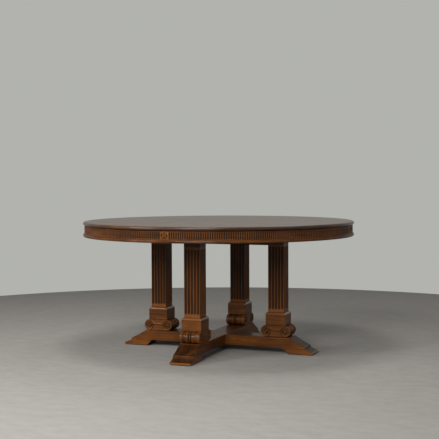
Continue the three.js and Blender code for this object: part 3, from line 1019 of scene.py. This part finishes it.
def scroll_section():
    """Once over the bolster from end to end: place of each point, and of its roll's axis."""
    face_radius = roll_radius - FACE_INSET
    straight = np.linspace(0.0, roll_reach, STRAIGHT_STEPS, endpoint=False)
    bend = np.linspace(0.0, 0.5 * math.pi, ROUND_END_STEPS + 1)
    half_x = np.concatenate([straight, roll_reach + face_radius * np.sin(bend)])
    half_top = np.concatenate([np.full(STRAIGHT_STEPS, face_radius), face_radius * np.cos(bend)])
    half_bend = np.concatenate([np.zeros(STRAIGHT_STEPS), bend])
    half_base = np.concatenate([straight, np.full(ROUND_END_STEPS + 1, roll_reach)])
    sign = np.concatenate([-np.ones(len(half_x) - 1), np.ones(len(half_x))])
    x, base = sign * there_and_back(half_x), sign * there_and_back(half_base)
    return x, there_and_back(half_top), base, sign * there_and_back(half_bend)


def scrolls():
    """Double rolls with belted waists, and volutes on both end faces."""
    face_x, face_top, base, angle = scroll_section()
    face_z = face_top[None, :] * np.linspace(-1.0, 1.0, FACE_ROWS)[:, None]
    relief, hollow = scroll_relief(*np.broadcast_arrays(np.abs(face_x), face_z))
    outline_y = scroll_half_width - FACE_RELIEF

    stations = np.linspace(-outline_y, outline_y, BELT_ROWS)
    full = belt_radius(stations)[:, None]
    shallow = np.maximum(full, roll_radius - FACE_INSET)
    fade = smoothstep((np.abs(base) - roll_reach + WAIST_BLEND) / WAIST_BLEND)
    radius = shallow + (full - shallow) * fade
    belt_x, belt_z = base + radius * np.sin(angle), radius * np.cos(angle)
    around_x, around_z = once_round(belt_x, belt_x), once_round(belt_z, -belt_z)
    share = once_round(radius, radius) / roll_radius
    # Painted shade in the belt's grooves and painted highlight on its bulges.
    belt_hollow = np.interp(share, (0.81, 0.88), (1.0, 0.0))
    belt_worn = np.interp(share, (0.93, 0.98), (0.0, 0.5))

    for name, turn in ARMS.items():
        solid = Solid()
        for side in (-1, 1):
            y = side * (outline_y + relief)
            points = grid_of(face_x + column_centre, y, face_z + roll_level)
            # Painted shade in the carved grooves and painted highlight on the raised bands.
            solid.grid(points, 0.75 * hollow, 0.4 * (1.0 - hollow))
        belt = grid_of(around_x + column_centre, stations[:, None], around_z + roll_level)
        solid.grid(belt, belt_hollow, belt_worn, close_columns=True)
        grain, nodes = along_arm(name), [f"scroll_{name}"]
        solid.piece(f"carved_scroll_{name}", grain, BASE_WOOD, "base_wood", nodes, turn)


# ---------------------------------------------------------------- base beams

BEAM_EASE = 1.2 * MM  # less than the radius of any convex corner of the outline
SLOPE_START = 9.0 * MM  # inside the end of the scroll
SLOPE_DROP = 51.0 * MM
SLOPE_RUN = 95.0 * MM
SLOPE_HOLLOW = 3.5 * MM
RISER_DROP = 14.0 * MM
RISER_RUN = 5.0 * MM
RISER_BATTER = 2.0 * MM  # the riser's foot stands this far in, so that its face is steep
COVE_HEIGHT = 2.0 * MM  # at the foot of the riser
LOWER_DROP = 15.0 * MM
LOWER_HOLLOW = 1.0 * MM
TOE_RUN = 7.0 * MM
TOE_FALL = 1.0 * MM  # over that run
ARM_HEIGHT = 60.0 * MM
SOLE_LENGTH = 149.0 * MM
RELIEF_RUN = 30.0 * MM
NOSING_RADIUS = 3.2 * MM
CORNER_RADIUS = 1.5 * MM
CREST_RADIUS = 10.0 * MM  # where the slope starts
HEEL_RADIUS = 2.0 * MM
RELIEF_RADIUS = 6.0 * MM
SLOPE_STEPS = 9
LOWER_STEPS = 5

beam_low, beam_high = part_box("beam_long")
beam_half_width = beam_high.y


def hollow_run(start, end, sag, steps):
    """Points between two others on a slope that sags a little."""
    points = []
    for step in range(1, steps):
        share = step / steps
        x = start[0] + (end[0] - start[0]) * share
        z = start[1] + (end[1] - start[1]) * share - 4.0 * sag * share * (1.0 - share)
        points.append((x, z, 0.0))
    return points


def beam_outline(lap_on_top):
    """Side view of a beam with stepped feet, half cut away where the other beam crosses."""
    top, sole, toe = beam_high.z, beam_low.z, beam_high.x
    under = top - ARM_HEIGHT
    slope_x = scroll_high.x - SLOPE_START
    riser_x, riser_z = slope_x + SLOPE_RUN, top - SLOPE_DROP
    lower_x, lower_z = riser_x + RISER_RUN, riser_z - RISER_DROP
    toe_z = lower_z - LOWER_DROP
    sole_x = toe - SOLE_LENGTH
    lap = beam_half_width + GAP
    middle = (under + top) / 2
    slope = hollow_run((riser_x, riser_z), (slope_x, top), SLOPE_HOLLOW, SLOPE_STEPS)
    step = hollow_run((toe - TOE_RUN, toe_z), (lower_x, lower_z), LOWER_HOLLOW, LOWER_STEPS)
    half = [
        (sole_x - RELIEF_RUN, under, RELIEF_RADIUS),
        (sole_x, sole, HEEL_RADIUS),
        (toe, sole, CORNER_RADIUS),
        (toe, toe_z - TOE_FALL, NOSING_RADIUS),
        *step,
        (lower_x, lower_z, CORNER_RADIUS),
        (lower_x - RISER_BATTER, lower_z + COVE_HEIGHT, 0.5 * COVE_HEIGHT),
        (riser_x, riser_z, NOSING_RADIUS),
        *slope,
        (slope_x, top, CREST_RADIUS),
    ]
    mirrored = [(-x, z, r) for x, z, r in reversed(half)]
    if lap_on_top:
        notch = [(lap, top, 0.0), (lap, middle, 0.0), (-lap, middle, 0.0), (-lap, top, 0.0)]
        return softened([*half, *notch, *mirrored])
    roof = middle + GAP
    notch = [(-lap, under, 0.0), (-lap, roof, 0.0), (lap, roof, 0.0), (lap, under, 0.0)]
    return softened([*half, *mirrored, *notch])


def beams():
    """The two beams of the cross, half-lapped where they meet."""
    for name, lap_on_top, turn in (("long", True, 0.0), ("cross", False, 0.5 * math.pi)):
        solid = board(beam_outline(lap_on_top), beam_half_width, BEAM_EASE)
        nodes = [f"beam_{name}"]
        solid.piece(f"base_beam_{name}", along_x, BASE_WOOD, "base_wood", nodes, turn)


# ---------------------------------------------------------------- felt pads

PAD_CORNER = 5.0 * MM
PAD_BULGE = 0.7 * MM
PAD_STEPS = 6

pad_low, pad_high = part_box("foot_pad_right")


def pads():
    """Thin felt under each foot, a little squeezed by the weight."""
    half_x, half_y = (pad_high.x - pad_low.x) / 2, pad_high.y
    centre = (pad_high.x + pad_low.x) / 2
    thickness = pad_high.z - pad_low.z
    levels = []
    for step in range(PAD_STEPS + 1):
        share = step / PAD_STEPS
        inset = PAD_BULGE * (2.0 * share - 1.0) ** 2
        levels.append((half_x - inset, half_y - inset, PAD_CORNER, share * thickness))
    for name, turn in ARMS.items():
        solid = block(levels, centre)
        solid.piece(f"felt_pad_{name}", along_x, FELT, "felt", [f"foot_pad_{name}"], turn)


# ---------------------------------------------------------------- carried-over nodes


def finish_nodes():
    """Materials for the bearers, the rails and the fasteners, which keep their CAD shape."""
    finishes = {
        "bearer_long": INNER_WOOD_X,
        "rail_long": INNER_WOOD_X,
        "bearer_cross": INNER_WOOD_Y,
        "rail_cross": INNER_WOOD_Y,
    }
    for name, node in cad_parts.items():
        if not node.hide_render:
            node.data.materials.clear()
            node.data.materials.append(finishes.get(name, STEEL))


# ---------------------------------------------------------------- stage and light

FLOOR_RADIUS = 3.3
FLOOR_STEPS = 180
WORLD_COLOUR = (0.445, 0.451, 0.423)
AMBIENT_SHARE = 0.18  # of the backdrop's brightness, in the light it gives to matt surfaces
REFLECTED_SHARE = 0.85  # and in what polished surfaces reflect
LIGHT_TARGET = 0.4  # height on the table's axis that the lights face

# Square soft lights: azimuth (0 is in front, 90 on the right) and elevation in degrees, then
# distance, side and watts.
LIGHTS = {
    "front_left": (-42.0, 23.0, 5.0, 1.8, 95.0),
    "front": (5.0, 23.0, 5.0, 1.8, 118.0),
    "right": (75.0, 30.0, 5.0, 2.0, 16.0),
    "spark": (-12.0, 40.0, 4.0, 0.35, 20.0),
    "ceiling": (0.0, 75.0, 3.0, 0.8, 24.0),
    "behind": (160.0, 60.0, 4.0, 1.5, 22.0),
}


def make_stage():
    """A round floor."""
    mesh = bpy.data.meshes.new("floor")
    angles = np.linspace(0.0, 2.0 * math.pi, FLOOR_STEPS, endpoint=False)
    rim = [(FLOOR_RADIUS * math.cos(a), FLOOR_RADIUS * math.sin(a), 0.0) for a in angles]
    mesh.from_pydata(rim, [], [list(range(len(rim)))])
    mesh.materials.append(carpet("carpet"))
    floor = bpy.data.objects.new("floor", mesh)
    scene.collection.objects.link(floor)


def area_light(name, azimuth, elevation, distance, size, power):
    """A light that faces the table and doesn't show itself."""
    data = bpy.data.lights.new(name, "AREA")
    data.shape = "SQUARE"
    data.size = size
    data.energy = power
    light = bpy.data.objects.new(name, data)
    light.visible_camera = False
    scene.collection.objects.link(light)
    turn = Matrix.Rotation(math.radians(azimuth), 4, "Z")
    tilt = Matrix.Rotation(math.radians(90.0 - elevation), 4, "X")
    height = Matrix.Translation((0.0, 0.0, LIGHT_TARGET))
    light.matrix_world = height @ turn @ tilt @ Matrix.Translation((0.0, 0.0, distance))


def make_lights():
    """An even pale backdrop that lights the room only a little, and soft lamps round the front."""
    world = bpy.data.worlds.new("studio")
    world.use_nodes = True
    tree = world.node_tree
    background = tree.nodes["Background"]
    background.inputs["Color"].default_value = (*WORLD_COLOUR, 1.0)
    rays = add_node(tree, "ShaderNodeLightPath").outputs
    reflected = ranged(tree, rays["Is Glossy Ray"], 0.0, 1.0, AMBIENT_SHARE, REFLECTED_SHARE)
    strength = ranged(tree, rays["Is Camera Ray"], 0.0, 1.0, reflected, 1.0)
    tree.links.new(strength, background.inputs["Strength"])
    scene.world = world
    for name, settings in LIGHTS.items():
        area_light(name, *settings)
    scene.view_settings.view_transform = "Standard"


top_panel()
lippings()
aprons()
beads()
rosettes()
columns()
plinths()
scrolls()
beams()
pads()
finish_nodes()
make_stage()
make_lights()
